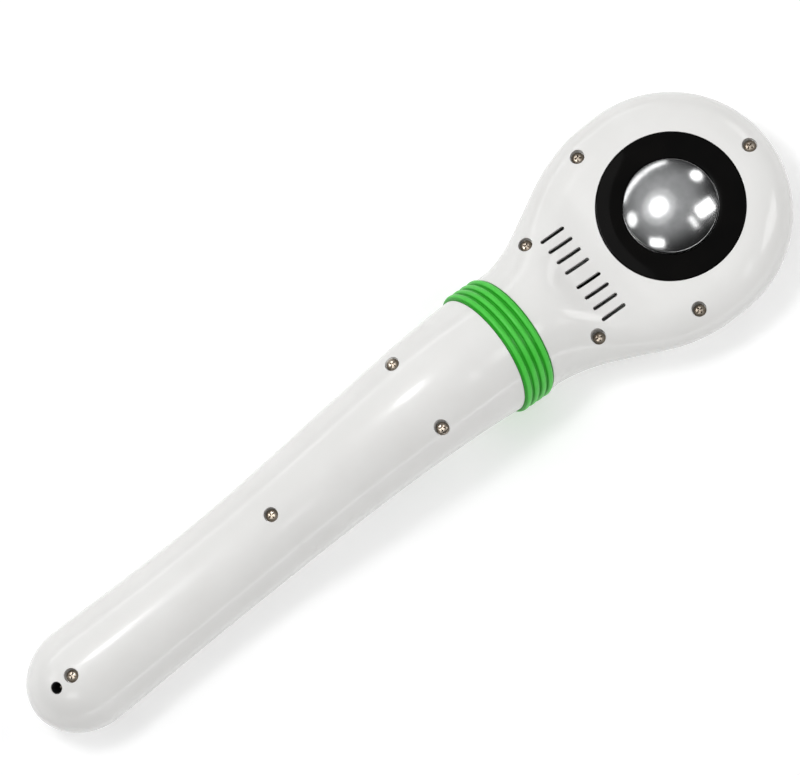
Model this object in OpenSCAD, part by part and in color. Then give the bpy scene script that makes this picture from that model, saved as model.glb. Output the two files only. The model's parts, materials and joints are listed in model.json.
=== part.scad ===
// Handheld ultrasound therapy wand: a round treatment head with a metal dome,
// a ribbed neck collar and an arched grip that holds the battery and controls.
// It lies on its back. +Z is up, through the dome; +X points to the head.

/* [Treatment head] */
// Radius of the round head outline
head_r = 41.5; // [41:0.1:42]
// Height of the flat front face above the parting line
face_h = 10; // [9.5:0.1:10.5]
// Depth of the rear shell below the parting line
back_h = 21; // [21:0.1:21.5]
// Width of the rounded edge round the front face
face_edge = 13; // [12:0.5:14]
// Width of the rounded edge round the back
back_edge = 24; // [22:0.5:25]
// Wall thickness of the four shells
wall = 2.2; // [2:0.1:2.4]

/* [Dome] */
// Outer radius of the black bezel ring
bezel_r = 25.2; // [24.5:0.1:25.5]
// Radius of the metal dome
dome_r = 16; // [15.5:0.1:16.2]
// Height of the dome's crown above its upright rim
dome_crown = 5; // [4:0.5:6]
// Height of the dome's upright rim above the bezel
dome_rim = 1.6; // [1.2:0.1:2]

/* [Grip] */
// Radius of the neck where the collar sits
neck_r = 22; // [21.8:0.1:22.2]
// Smallest radius of the grip
grip_r = 17.2; // [17:0.1:17.4]
// Radius of the rounded tail
tail_r = 18.15; // [18:0.05:18.3]
// Height of the arch's crest above the head's parting line
crest_h = 11.6; // [11:0.1:12]
// Length of the rounded tail end
tail_len = 21; // [20:0.5:22]

/* [Collar] */
// Number of ridges on the collar
ridges = 4; // [3:1:5]
// Outer radius of the collar over its ridges
collar_r = 23.1; // [22.8:0.1:23.3]

/* [Controls] */
// Travel of each push button
travel = 0.6; // [0.4:0.1:0.6]
// Radius of the power button
power_r = 4.2; // [4:0.1:4.2]
// Radius of the two level buttons
level_r = 3.3; // [3:0.1:3.4]

/* [Hidden] */
$fn = 64;

// Distances s run from the dome's axis toward the tail; x is -s.
head_s = 1.5;
head_end = 68.5;
grip_start = 80;
crest_s = 110;
tail_start = 252;
end_angle = 86;
tip_x = -head_s + head_r * sin(end_angle);
tail_x = -tail_start - tail_len * sin(end_angle);
origin_x = -(tip_x + tail_x) / 2;

// [distance, half width] down the head and neck, and down the grip
neck_widths = [
    [head_s, head_r], [14, head_r - 0.6], [26.7, head_r - 4.1], [41.7, neck_r + 8],
    [51.7, neck_r + 3.2], [61, neck_r + 0.5], [head_end, neck_r + 0.05], [74, neck_r]
];
grip_widths = [
    [74, neck_r], [grip_start, neck_r - 0.4], [90, neck_r - 1], [127, grip_r + 1.8],
    [167, grip_r + 0.4], [197, grip_r], [227, grip_r + 0.4], [tail_start, tail_r]
];
// [distance, height of the parting line] down the whole body
tail_z = tail_r - back_h + 0.05;
arch = [
    [30, 0], [58, 0.7], [head_end, 2.6], [grip_start, crest_h - 4.5], [93, crest_h - 0.9],
    [crest_s, crest_h], [130, crest_h - 1.6], [150, crest_h - 5], [180, 0.6],
    [215, tail_z + 0.5], [tail_start, tail_z]
];

function lerp(a, b, t) = a + (b - a) * t;
function clamp01(t) = max(0, min(1, t));
function smooth(t) = let (c = clamp01(t)) c * c * (3 - 2 * c);
function span(rows, s, i = 0) = i + 2 >= len(rows) || s < rows[i + 1][0] ? i : span(rows, s, i + 1);
function slope(rows, i) =
    i == 0 || i == len(rows) - 1 ? 0
    : (rows[i + 1][1] - rows[i - 1][1]) / (rows[i + 1][0] - rows[i - 1][0]);
// Smooth curve through [distance, value] rows, level at both ends
function curve(rows, s) =
    let (
        i = span(rows, s),
        step = rows[i + 1][0] - rows[i][0],
        t = clamp01((s - rows[i][0]) / step),
        bend = 3 * t * t - 2 * t * t * t
    )
    rows[i][1] * (1 - bend) + rows[i + 1][1] * bend
    + step * (slope(rows, i) * (t * t * t - 2 * t * t + t) + slope(rows, i + 1) * (t * t * t - t * t));

function mid_z(s) = curve(arch, s);
collar_tilt = atan((mid_z(grip_start) - mid_z(head_end)) / (grip_start - head_end));
// Lean of the cross-section planes: upright in the head, square to the axis at the collar
function lean(s) =
    s < grip_start + 3 ? collar_tilt * smooth((s - 34) / 30)
    : collar_tilt * smooth((crest_s - s) / (crest_s - grip_start - 3));

// Height of a section above or below the parting line, d in from its outline
function rise(h, edge, d) = h * sqrt(1 - pow(1 - clamp01(d / edge), 2));
function neck_mix(s) = smooth((s - 24) / 40);
// A body point: s along, y across, h up its leaning section
function body_point(s, y, h) = [-s + h * sin(lean(s)), y, mid_z(s) + h * cos(lean(s))];

section_steps = 18;
// Point k of half a head section; side is 1 for the front and -1 for the back
function head_point(s, k, side, inset) =
    let (
        forward = s < head_s,
        r = head_r - inset,
        w = forward ? sqrt(max(0, r * r - pow(head_s - s, 2))) : curve(neck_widths, s) - inset,
        y = w * sin(-90 + 180 * k / section_steps),
        grade = forward ? 0 : (curve(neck_widths, s + 0.5) - curve(neck_widths, s - 0.5)),
        mix = neck_mix(s),
        slant = lerp(sqrt(1 + grade * grade), 1, mix),
        d = forward ? r - norm([head_s - s, y]) : (w - abs(y)) / slant,
        flat_h = (side > 0 ? face_h : back_h) - inset,
        neck_h = (side > 0 ? neck_r : neck_r - 1) - inset,
        flat_edge = (side > 0 ? face_edge : back_edge) - inset,
        edge = forward ? flat_edge : min(lerp(flat_edge, w, mix), w / slant)
    )
    body_point(s, y, side * rise(lerp(flat_h, neck_h, mix), edge, max(0, d)));

// Point k of half a grip section, which is round
function grip_point(s, k, side, inset) =
    let (
        w = s > tail_start
            ? (tail_r - inset) * sqrt(max(0, 1 - pow((s - tail_start) / (tail_len - inset), 2)))
            : curve(grip_widths, s) - inset,
        a = -90 + 180 * k / section_steps
    )
    body_point(s, w * sin(a), side * w * cos(a));

function head_stations(inset) = concat(
    [for (a = [end_angle, 78, 68, 58, 47, 36, 25, 13]) head_s - (head_r - inset) * sin(a)],
    [for (i = [0 : 13]) lerp(head_s, head_end, i / 13)]
);
function grip_stations(inset) = concat(
    [for (s = [grip_start : 7.1 : tail_start - 5]) s],
    [for (a = [0, 14, 28, 42, 55, 67, 77, end_angle]) tail_start + (tail_len - inset) * sin(a)]
);

// Solid through sections of equal point count, closed by flat ends
module loft(rings) {
    count = len(rings[0]);
    last = len(rings) - 1;
    polyhedron(
        points = [for (ring = rings) each ring],
        faces = concat(
            [[for (k = [0 : count - 1]) k]],
            [for (i = [0 : last - 1], k = [0 : count - 1]) let (n = (k + 1) % count)
                each [
                    [i * count + k, (i + 1) * count + k, i * count + n],
                    [i * count + n, (i + 1) * count + k, (i + 1) * count + n]
                ]
            ],
            [[for (k = [count - 1 : -1 : 0]) last * count + k]]
        ),
        convexity = 8
    );
}

function front_ring(kind, s, inset) = [for (k = [0 : section_steps])
    kind == "head" ? head_point(s, k, 1, inset) : grip_point(s, k, 1, inset)];
function back_ring(kind, s, inset) = [for (k = [section_steps : -1 : 0])
    kind == "head" ? head_point(s, k, -1, inset) : grip_point(s, k, -1, inset)];
function inner_back(kind, s, inset) = [for (k = [section_steps - 1 : -1 : 1])
    kind == "head" ? head_point(s, k, -1, inset) : grip_point(s, k, -1, inset)];

module half_body(kind, stations, side) {
    loft([for (s = stations) side > 0 ? front_ring(kind, s, 0) : back_ring(kind, s, 0)]);
}
// The hollow inside a shell pair, run on past its open end with no section at the end itself
module cavity(kind, stations) {
    loft([for (s = stations) concat(front_ring(kind, s, wall), inner_back(kind, s, wall))]);
}
module head_cavity() {
    stations = head_stations(wall);
    cavity("head", concat(
        [for (i = [0 : len(stations) - 2]) stations[i]], [head_end - 2, head_end + 2]
    ));
}
module grip_cavity() {
    stations = grip_stations(wall);
    cavity("grip", concat(
        [grip_start - 2, grip_start + 3], [for (i = [1 : len(stations) - 1]) stations[i]]
    ));
}

// A height past every surface
high = 60;

// Everything is drawn about the dome's axis at the parting line, then set on the ground
module placed() {
    translate([origin_x, 0, back_h])
        children();
}
module rod(r, low, high) {
    translate([0, 0, low])
        cylinder(r = r, h = high - low);
}
// A block that holds the whole body
module block() {
    translate([-300, -high, -high])
        cube([400, 2 * high, 2 * high]);
}
// Stadium-shaped prism, length along X
module stadium(length, width, low, high) {
    for (side = [-1, 1])
        translate([side * (length - width) / 2, 0, low])
            cylinder(r = width / 2, h = high - low);
    translate([-(length - width) / 2, -width / 2, low])
        cube([length - width, width, high - low]);
}

// Screws: [x, y, seat height], a small pan head in a deep round pocket
head_spots = [[33.3, 0, 5.2], [-14, 33, 4.8], [-14, -33, 4.8], [-46, 19.8, 7.5], [-46, -19.8, 7.5]];
grip_spots = [
    [-105.4, 13.5, mid_z(105.4) + 12], [-105.4, -13.5, mid_z(105.4) + 12],
    [-168, 0, mid_z(168) + 14.2], [-253.8, 0, mid_z(253.8) + 14.6]
];
pocket_r = 2.5;
post_r = 3.5;
tail_post_r = 2.9;
// Small screws hold the boards and the clamp
small_screw_r = 0.8;
small_head_r = 1.7;
small_pilot_r = 0.85;
screw_r = 1;
screw_hole_r = 1.15;
screw_head_r = 2.2;
screw_head_h = 1.5;
bite = 8;
function post_size(spot) = spot[0] < -tail_start ? tail_post_r : post_r;

module screw_posts(spots, side) {
    for (spot = spots)
        translate([spot[0], spot[1], 0])
            rod(post_size(spot) - (side > 0 ? 0 : 0.3), -high, high);
}
module screw_pockets(spots) {
    for (spot = spots)
        translate([spot[0], spot[1], 0]) {
            rod(pocket_r, spot[2], high);
            rod(screw_hole_r, -high, spot[2] + 1);
        }
}
module screw_pilots(spots) {
    for (spot = spots)
        translate([spot[0], spot[1], 0])
            rod(screw_hole_r - 0.1, mid_z(-spot[0]) - bite - 0.5, mid_z(-spot[0]) + 5);
}
module pan_screw(seat, tip) {
    cross = 0.55;
    difference() {
        union() {
            rod(screw_r, tip, seat + 0.1);
            translate([0, 0, seat + 0.02])
                rotate_extrude()
                    polygon([
                        [0, 0], [screw_head_r, 0], [screw_head_r, screw_head_h * 0.45],
                        [screw_head_r * 0.85, screw_head_h * 0.8], [screw_head_r * 0.5, screw_head_h],
                        [0, screw_head_h]
                    ]);
        }
        for (turn = [20, 110])
            rotate([0, 0, turn])
                translate([-1.2, -cross / 2, seat + screw_head_h - 0.8])
                    cube([2.4, cross, 2]);
    }
}
module screws(spots) {
    for (spot = spots)
        translate([spot[0], spot[1], 0])
            pan_screw(spot[2], mid_z(-spot[0]) - bite);
}

module head_screws() {
    color([0.55, 0.53, 0.5])
    placed()
    screws(head_spots);
}
module handle_screws() {
    color([0.55, 0.53, 0.5])
    placed()
    screws(grip_spots);
}

// Bezel seat, vents and transducer opening in the front of the head
bezel_t = 2.4;
bezel_gap = 0.15;
flange_r = dome_r + 2.6;
flange_t = 1.5;
opening_r = flange_r + 0.2;
ledge_z = face_h - bezel_t;
vent_s = 37;
vent_rows = [3.1, 7.6, 12.1, 16.6];
vent_w = 1.3;
vent_len = 9.5;
clamp_pitch_r = 21.6;
clamp_post_r = 2.4;
clamp_z = ledge_z - 5.4;

module around(count, r, start = 0) {
    for (i = [0 : count - 1])
        rotate([0, 0, start + 360 * i / count])
            translate([r, 0, 0])
                children();
}
module head_front_shell() {
    color([0.93, 0.93, 0.91])
    placed()
    difference() {
        intersection() {
            half_body("head", head_stations(0), 1);
            union() {
                difference() {
                    block();
                    head_cavity();
                }
                screw_posts(head_spots, 1);
                rod(bezel_r + 1.8, ledge_z - 1.8, high);
                around(3, clamp_pitch_r, 60)
                    rod(clamp_post_r, clamp_z, high);
            }
        }
        screw_pockets(head_spots);
        rod(bezel_r + bezel_gap, ledge_z, high);
        rod(opening_r, -5, high);
        around(3, clamp_pitch_r, 60)
            rod(small_pilot_r, clamp_z - 1, clamp_z + 4.5);
        for (y = vent_rows, side = [-1, 1])
            translate([-vent_s, side * y, 0])
                stadium(vent_len, vent_w, 1, high);
    }
}
module head_rear_shell() {
    color([0.93, 0.93, 0.91])
    placed()
    difference() {
        intersection() {
            half_body("head", head_stations(0), -1);
            union() {
                difference() {
                    block();
                    head_cavity();
                }
                screw_posts(head_spots, -1);
                for (spot = driver_spots)
                    translate([spot[0], spot[1], 0])
                        rod(2.4, -back_h, driver_z);
            }
        }
        screw_pilots(head_spots);
        for (spot = driver_spots)
            translate([spot[0], spot[1], 0])
                rod(small_pilot_r, driver_z - 5, driver_z + 1);
    }
}
module bezel_ring() {
    color([0.03, 0.03, 0.03])
    placed()
    difference() {
        rod(bezel_r, ledge_z, face_h);
        rod(dome_r + 0.15, ledge_z - 1, face_h + 1);
    }
}

// Dome: flange under the bezel, upright rim and a spherical crown
rim_z = face_h + dome_rim;
crown_r = (dome_r * dome_r + dome_crown * dome_crown) / (2 * dome_crown);
crown_angle = asin(dome_r / crown_r);
module treatment_dome() {
    color([0.75, 0.76, 0.77])
    placed()
    rotate_extrude($fn = 96)
        polygon(concat(
            [[0, rim_z - 2.2], [dome_r - 2, rim_z - 2.2], [dome_r - 2, ledge_z - flange_t]],
            [[flange_r, ledge_z - flange_t], [flange_r, ledge_z - 0.02], [dome_r, ledge_z - 0.02]],
            [for (i = [0 : 12]) let (a = crown_angle * (1 - i / 12))
                [crown_r * sin(a), rim_z + crown_r * (cos(a) - cos(crown_angle))]]
        ));
}
module dome_seal() {
    color([0.12, 0.12, 0.12])
    placed()
    rotate_extrude()
        translate([dome_r + 1.2, ledge_z - flange_t - 0.75])
            circle(r = 0.7, $fn = 24);
}
module piezo_disc() {
    color([0.85, 0.82, 0.7])
    placed()
    rod(12.5, rim_z - 4.25, rim_z - 2.25);
}
clamp_low = clamp_z - 2;
module transducer_clamp() {
    color([0.15, 0.15, 0.16])
    placed()
    difference() {
        union() {
            rod(opening_r - 0.3, clamp_low, ledge_z - flange_t - 1.5);
            rod(clamp_pitch_r + clamp_post_r, clamp_low, clamp_z - 0.05);
        }
        rod(dome_r - 1.6, clamp_low - 1, ledge_z);
        around(3, clamp_pitch_r, 60)
            rod(1, clamp_low - 1, clamp_z + 1);
    }
}
module clamp_screws() {
    color([0.55, 0.53, 0.5])
    placed()
    around(3, clamp_pitch_r, 60) {
        rod(small_screw_r, clamp_low - 0.1, clamp_z + 4);
        rod(small_head_r, clamp_low - 1.3, clamp_low - 0.03);
    }
}

// Driver electronics on the head's floor
driver_z = -12.5;
board_t = 1.6;
driver_spots = [[16, 16], [16, -16], [-16, 18], [-16, -18]];
module driver_board() {
    color([0.1, 0.4, 0.2])
    placed()
    difference() {
        intersection() {
            rod(27, driver_z + 0.02, driver_z + board_t);
            translate([-30, -22.5, driver_z])
                cube([54, 45, 3]);
        }
        for (spot = driver_spots)
            translate([spot[0], spot[1], 0])
                rod(1.1, -high, high);
    }
}
part_z = driver_z + board_t + 0.02;
module driver_transformer() {
    color([0.35, 0.3, 0.25])
    placed()
    translate([5, 0, 0])
        difference() {
            rod(7.5, part_z, part_z + 8);
            rod(3, part_z - 1, part_z + 9);
        }
}
module driver_transistors() {
    color([0.08, 0.08, 0.09])
    placed()
    for (y = [-7, 7])
        translate([-16, y - 5, part_z])
            cube([4.4, 10, 9]);
}
module heat_sink() {
    fins = 4;
    fin_t = 0.9;
    fin_pitch = 1.2;
    fin_h = 9.5;
    base_h = 1.6;
    sink_len = 28;
    color([0.7, 0.71, 0.73])
    placed()
    translate([-20.6, -sink_len / 2, part_z]) {
        cube([fin_pitch * (fins - 1) + fin_t, sink_len, base_h]);
        for (i = [0 : fins - 1])
            translate([fin_pitch * i, 0, 0])
                cube([fin_t, sink_len, fin_h]);
    }
}
module buzzer() {
    color([0.1, 0.1, 0.1])
    placed()
    translate([18, 0, 0])
        difference() {
            rod(4.8, part_z, part_z + 5);
            rod(0.8, part_z + 3, part_z + 6);
        }
}

// Collar and the tube it grips, both square to the leaning neck axis
collar_mid = [-(head_end + grip_start) / 2, (mid_z(head_end) + mid_z(grip_start)) / 2];
collar_len = norm([grip_start - head_end, mid_z(grip_start) - mid_z(head_end)]) - 0.3;
tube_r = 18.2;
groove = 1.1;
module on_neck_axis() {
    translate([collar_mid[0], 0, collar_mid[1]])
        rotate([0, 90 + collar_tilt, 0])
            children();
}
module neck_collar() {
    pitch = collar_len / ridges;
    steps = 8;
    function bulge(i) = sqrt(max(0, 1 - pow(2 * (i % steps) / steps - 1, 2)));
    color([0.24, 0.72, 0.2])
    placed()
    on_neck_axis()
        rotate_extrude($fn = 96)
            polygon(concat(
                [for (i = [0 : ridges * steps])
                    [collar_r - groove * (1 - bulge(i)), -collar_len / 2 + pitch * i / steps]],
                [[tube_r + 0.05, collar_len / 2], [tube_r + 0.05, -collar_len / 2]]
            ));
}
module neck_tube() {
    color([0.85, 0.85, 0.83])
    placed()
    on_neck_axis()
        difference() {
            rod(tube_r, -collar_len / 2 - 5, collar_len / 2 + 3.5);
            rod(tube_r - 2, -collar_len, collar_len);
        }
}

// Grip shells; a recess on the back takes the control panel
panel_s = 127;
panel_len = 40;
panel_w = 15;
panel_z = mid_z(panel_s) - curve(grip_widths, panel_s) + 1.8;
panel_t = 1.6;
pad_t = 1.2;
pad_z = panel_z + panel_t;
jack_s = 260.4;
jack_tilt = 12;
jack_r = 2.1;
jack_mouth = [-jack_s, mid_z(jack_s) + tail_r * sqrt(1 - pow((jack_s - tail_start) / tail_len, 2))];
boss_depth = 3.2;
// The charge board's height and screws; its other end is held by the tail's post
charge_z = mid_z(246) - 8;
charge_spots = [[-260.5, 5.5], [-260.5, -5.5]];
module on_jack_axis() {
    translate([jack_mouth[0], 0, jack_mouth[1]])
        rotate([0, -jack_tilt, 0])
            children();
}
module handle_front_shell() {
    color([0.93, 0.93, 0.91])
    placed()
    difference() {
        intersection() {
            half_body("grip", grip_stations(0), 1);
            union() {
                difference() {
                    block();
                    grip_cavity();
                }
                screw_posts(grip_spots, 1);
                on_jack_axis()
                    rod(3.4, -boss_depth, 3);
            }
        }
        screw_pockets(grip_spots);
        on_jack_axis()
            rod(jack_r, -boss_depth - 1, 8);
        on_jack_axis()
            rod(jack_body_r + 0.15, -15, -boss_depth);
    }
}
module handle_rear_shell() {
    color([0.93, 0.93, 0.91])
    placed()
    difference() {
        intersection() {
            half_body("grip", grip_stations(0), -1);
            union() {
                difference() {
                    block();
                    grip_cavity();
                }
                screw_posts(grip_spots, -1);
                translate([-panel_s, 0, 0])
                    stadium(panel_len + 6, panel_w + 4, panel_z - 4, pad_z + pad_t);
                for (spot = control_spots)
                    translate([spot[0], spot[1], 0])
                        rod(2.2, -high, control_z);
                for (spot = charge_spots)
                    translate([spot[0], spot[1], 0])
                        rod(2, -high, charge_z);
            }
        }
        screw_pilots(grip_spots);
        translate([-panel_s, 0, 0]) {
            stadium(panel_len + 0.2, panel_w + 0.2, -high, pad_z);
            stadium(panel_len - 5, 10.4, -high, pad_z + pad_t + 1);
        }
        for (spot = control_spots)
            translate([spot[0], spot[1], 0])
                rod(small_pilot_r, control_z - 4, control_z + 1);
        for (spot = charge_spots)
            translate([spot[0], spot[1], 0])
                rod(small_pilot_r, charge_z - 4, charge_z + 1);
    }
}

// Push buttons: [offset from the panel's middle, radius]
power_x = 12;
up_x = 0.8;
down_x = -8.4;
button_fit = 0.08;
led_xs = [-13.4, -15, -16.6];
pipe_r = 0.5;
flange_low = pad_z + 0.03;
module control_panel() {
    color([0.75, 0.77, 0.78])
    placed()
    translate([-panel_s, 0, 0])
    difference() {
        stadium(panel_len, panel_w, panel_z, pad_z - 0.02);
        translate([power_x, 0, 0])
            rod(power_r + button_fit, panel_z - 1, pad_z + 1);
        translate([up_x, 0, 0])
            rod(level_r + button_fit, panel_z - 1, pad_z + 1);
        translate([down_x, 0, 0])
            rod(level_r + button_fit, panel_z - 1, pad_z + 1);
        for (x = led_xs)
            translate([x, 0, 0])
                rod(pipe_r + 0.05, panel_z - 1, pad_z + 1);
    }
}
// A button's face, its stem through the panel and the flange that keeps it in
module push_button(x, r) {
    color([0.3, 0.68, 0.25])
    placed()
    translate([x - panel_s, 0, 0]) {
        translate([0, 0, panel_z - 1])
            rotate_extrude()
                polygon([
                    [0, -0.15], [r - 1.2, -0.1], [r - 0.35, 0.1], [r, 0.55], [r, 2],
                    [0, 2]
                ]);
        rod(r, panel_z, flange_low + 0.1);
        rod(r + 0.7, flange_low, flange_low + 0.8);
        rod(1.4, flange_low, switch_low - 1.02);
    }
}
module power_button() {
    push_button(power_x, power_r);
}
module level_up_button() {
    push_button(up_x, level_r);
}
module level_down_button() {
    push_button(down_x, level_r);
}
control_z = mid_z(panel_s) - 9;
switch_h = 2.6;
switch_low = control_z - switch_h - 0.02;
control_spots = [[-112, 10], [-142, 10], [-112, -10], [-142, -10]];
module plunger(x) {
    color([0.1, 0.1, 0.1])
    placed()
    translate([x - panel_s, 0, 0])
        rod(1.6, switch_low - 1, switch_low + 1);
}
module power_plunger() {
    plunger(power_x);
}
module level_up_plunger() {
    plunger(up_x);
}
module level_down_plunger() {
    plunger(down_x);
}
module switch_bodies() {
    color([0.6, 0.6, 0.62])
    placed()
    for (x = [power_x, up_x, down_x])
        translate([x - panel_s, 0, 0])
            difference() {
                translate([-3, -3, switch_low])
                    cube([6, 6, switch_h]);
                rod(1.66, switch_low - 1, switch_low + 1 + travel + 0.2);
            }
}
module control_board() {
    color([0.1, 0.4, 0.2])
    placed()
    difference() {
        translate([-147, -12.5, control_z + 0.02])
            cube([38, 25, board_t]);
        for (spot = control_spots)
            translate([spot[0], spot[1], 0])
                rod(1.1, -high, high);
    }
}
// Screws that hold a board down on its posts
module screws_in(spots, post_z, depth) {
    for (spot = spots)
        translate([spot[0], spot[1], 0]) {
            rod(small_screw_r, post_z - depth, post_z + board_t + 0.1);
            rod(small_head_r, post_z + board_t + 0.03, post_z + board_t + 1.2);
        }
}
module board_screws() {
    color([0.55, 0.53, 0.5])
    placed() {
        screws_in(control_spots, control_z, 3.6);
        screws_in(driver_spots, driver_z, 4.6);
        screws_in(charge_spots, charge_z, 3.6);
    }
}
module status_leds() {
    color([0.9, 0.95, 0.9])
    placed()
    for (x = led_xs)
        translate([x - panel_s - 0.6, -1, control_z - 1])
            cube([1.2, 2, 0.98]);
}
module light_pipes() {
    color([0.9, 0.92, 0.9, 0.6])
    placed()
    for (x = led_xs)
        translate([x - panel_s, 0, 0])
            rod(pipe_r, panel_z - 0.1, control_z - 1.05);
}

// Battery behind the middle screw
cell_r = 9.1;
cell_len = 65;
cell_head = -174;
cell_z = -0.6;
module battery_cell() {
    color([0.2, 0.45, 0.75])
    placed()
    translate([cell_head, 0, cell_z])
        rotate([0, -90, 0]) {
            cylinder(r = cell_r, h = cell_len);
            translate([0, 0, -0.8])
                cylinder(r = 3.4, h = 1);
        }
}
// The grip's hollow beside the cell, a little inside its walls
module pad_room() {
    loft([for (s = [grip_start + 80 : 8 : tail_start])
        concat(front_ring("grip", s, wall + 0.1), inner_back("grip", s, wall + 0.1))]);
}
module battery_pads() {
    color([0.25, 0.25, 0.26])
    placed()
    for (x = [cell_head - 12, cell_head - cell_len + 12])
        difference() {
            intersection() {
                pad_room();
                translate([x - 4, -20, -40])
                    cube([8, 40, 40 + cell_z]);
            }
            translate([x - 10, 0, cell_z])
                rotate([0, 90, 0])
                    cylinder(r = cell_r + 0.05, h = 20);
        }
}

// Charging inlet in the tail
jack_body_r = 2.9;
jack_bore_r = 1.75;
jack_depth = 9;
module dc_jack() {
    color([0.05, 0.05, 0.05])
    placed()
    on_jack_axis()
        difference() {
            rod(jack_body_r, -jack_depth - 1, -boss_depth - 0.05);
            rod(jack_bore_r, -jack_depth, 0);
            rod(0.62, -jack_depth - 2, 0);
        }
}
module jack_pin() {
    color([0.85, 0.83, 0.75])
    placed()
    on_jack_axis()
        rod(0.6, -jack_depth - 1.5, -5.4);
}
module charge_board() {
    color([0.1, 0.4, 0.2])
    placed()
    difference() {
        union() {
            translate([-263, -8, charge_z + 0.02])
                cube([20, 16, board_t]);
            translate([-250, -5, charge_z + board_t])
                cube([5, 10, 2.2]);
        }
        translate([-253.8, 0, 0])
            rod(tail_post_r + 0.3, -high, high);
        for (spot = charge_spots)
            translate([spot[0], spot[1], 0])
                rod(1.1, -high, high);
    }
}

// Wires: a round tube swept through its own points
function along(path, i) =
    let (
        a = path[max(0, i - 1)],
        b = path[min(len(path) - 1, i + 1)]
    )
    (b - a) / norm(b - a);
function ring_at(path, i, r, sides) =
    let (
        t = along(path, i),
        side = cross(t, abs(t[2]) > 0.9 ? [0, 1, 0] : [0, 0, 1]),
        u = side / norm(side),
        v = cross(u, t)
    )
    [for (k = [0 : sides - 1]) path[i] + r * (cos(360 * k / sides) * u + sin(360 * k / sides) * v)];
module wire(path, r) {
    loft([for (i = [0 : len(path) - 1]) ring_at(path, i, r, 8)]);
}
module transducer_leads() {
    color([0.75, 0.1, 0.1])
    placed()
    for (y = [-3, 3])
        wire([
            [-2, y, 6.9], [-5, y, 4.5], [-8, y, 1.5], [-9.5, y, -2], [-9.5, y, -6], [-9.5, y, -10.8]
        ], 0.6);
}
module signal_harness() {
    color([0.15, 0.15, 0.16])
    placed()
    wire([
        [-27.1, 0, -11.7], [-30, 0, -11.5], [-35, 0, -9.8], [-44, 0, -7], [-56, 0, -4.5], [-68, 0, -1],
        [-80, 0, 2], [-90, 0, 3.4], [-98, 0, control_z + 2], [-103, 0, control_z + 1.1],
        [-106, 0, control_z + 0.82], [-108.95, 0, control_z + 0.82]
    ], 1.6);
}
module battery_leads() {
    color([0.75, 0.1, 0.1])
    placed()
    for (side = [-1, 1])
        wire([
            [-173, 6 * side, 0], [-170, 7.5 * side, 0.5], [-164, 7.5 * side, 2],
            [-156, 6 * side, 4.2], [-149, 4 * side, control_z + 4.6], [-146, 4 * side, control_z + 4],
            [-145, 4 * side, control_z + 2.8], [-145, 4 * side, control_z + board_t + 0.04]
        ], 0.7);
}
module jack_leads() {
    color([0.1, 0.1, 0.12])
    placed()
    for (y = [-3.5, 3.5])
        wire([
            [-244.97, y, charge_z + 2.9], [-244.2, y, charge_z + 2.9], [-242, y, -4],
            [-240.9, y, -1.8], [-239.9, y, -0.6]
        ], 0.7);
}

head_front_shell();
head_rear_shell();
bezel_ring();
treatment_dome();
dome_seal();
piezo_disc();
transducer_clamp();
clamp_screws();
transducer_leads();
driver_board();
driver_transformer();
driver_transistors();
heat_sink();
buzzer();
head_screws();
neck_collar();
neck_tube();
signal_harness();
handle_front_shell();
handle_rear_shell();
handle_screws();
control_board();
board_screws();
switch_bodies();
status_leds();
light_pipes();
control_panel();
power_button();
level_up_button();
level_down_button();
power_plunger();
level_up_plunger();
level_down_plunger();
battery_cell();
battery_pads();
battery_leads();
charge_board();
dc_jack();
jack_pin();
jack_leads();
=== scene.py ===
"""Looks of a handheld ultrasound therapy wand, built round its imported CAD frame."""
import json
import math

import bmesh
import bpy
import numpy as np
from mathutils import Matrix, Vector
from mathutils.bvhtree import BVHTree


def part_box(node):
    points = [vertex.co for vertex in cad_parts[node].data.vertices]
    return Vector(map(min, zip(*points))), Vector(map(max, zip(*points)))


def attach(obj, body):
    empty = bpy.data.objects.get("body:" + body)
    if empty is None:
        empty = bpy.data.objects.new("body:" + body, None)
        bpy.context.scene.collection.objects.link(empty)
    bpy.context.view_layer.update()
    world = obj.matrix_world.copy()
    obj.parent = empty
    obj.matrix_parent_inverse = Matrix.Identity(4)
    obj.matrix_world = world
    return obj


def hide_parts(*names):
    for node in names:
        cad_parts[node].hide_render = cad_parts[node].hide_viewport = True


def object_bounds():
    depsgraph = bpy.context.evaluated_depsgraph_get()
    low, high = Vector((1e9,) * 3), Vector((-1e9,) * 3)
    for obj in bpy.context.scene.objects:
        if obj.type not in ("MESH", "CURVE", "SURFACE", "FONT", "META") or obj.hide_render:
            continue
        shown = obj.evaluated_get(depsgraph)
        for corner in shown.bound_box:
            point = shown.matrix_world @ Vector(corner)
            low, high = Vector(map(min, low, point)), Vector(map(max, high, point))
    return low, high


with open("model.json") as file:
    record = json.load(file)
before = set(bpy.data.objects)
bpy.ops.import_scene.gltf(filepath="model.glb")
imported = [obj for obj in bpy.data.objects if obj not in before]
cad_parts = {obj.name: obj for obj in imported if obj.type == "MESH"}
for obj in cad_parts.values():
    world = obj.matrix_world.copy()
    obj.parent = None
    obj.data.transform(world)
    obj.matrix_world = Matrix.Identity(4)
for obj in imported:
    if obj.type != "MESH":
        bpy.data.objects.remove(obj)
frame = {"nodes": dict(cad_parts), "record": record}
CAD_BOX = [list(corner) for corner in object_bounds()]

MM = 0.001
ROOT = "wand"
TINY = 1e-9

# ------------------------------------------------------------------ places
ring_low, ring_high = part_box("bezel_ring")
AXIS_X = (ring_low.x + ring_high.x) / 2
PART_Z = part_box("head_front_shell")[0].z
FACE_Z = ring_high.z
LEDGE_Z = ring_low.z
FACE_H = (FACE_Z - PART_Z) / MM
LEDGE_H = (LEDGE_Z - PART_Z) / MM
BACK_H = PART_Z / MM

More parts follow.
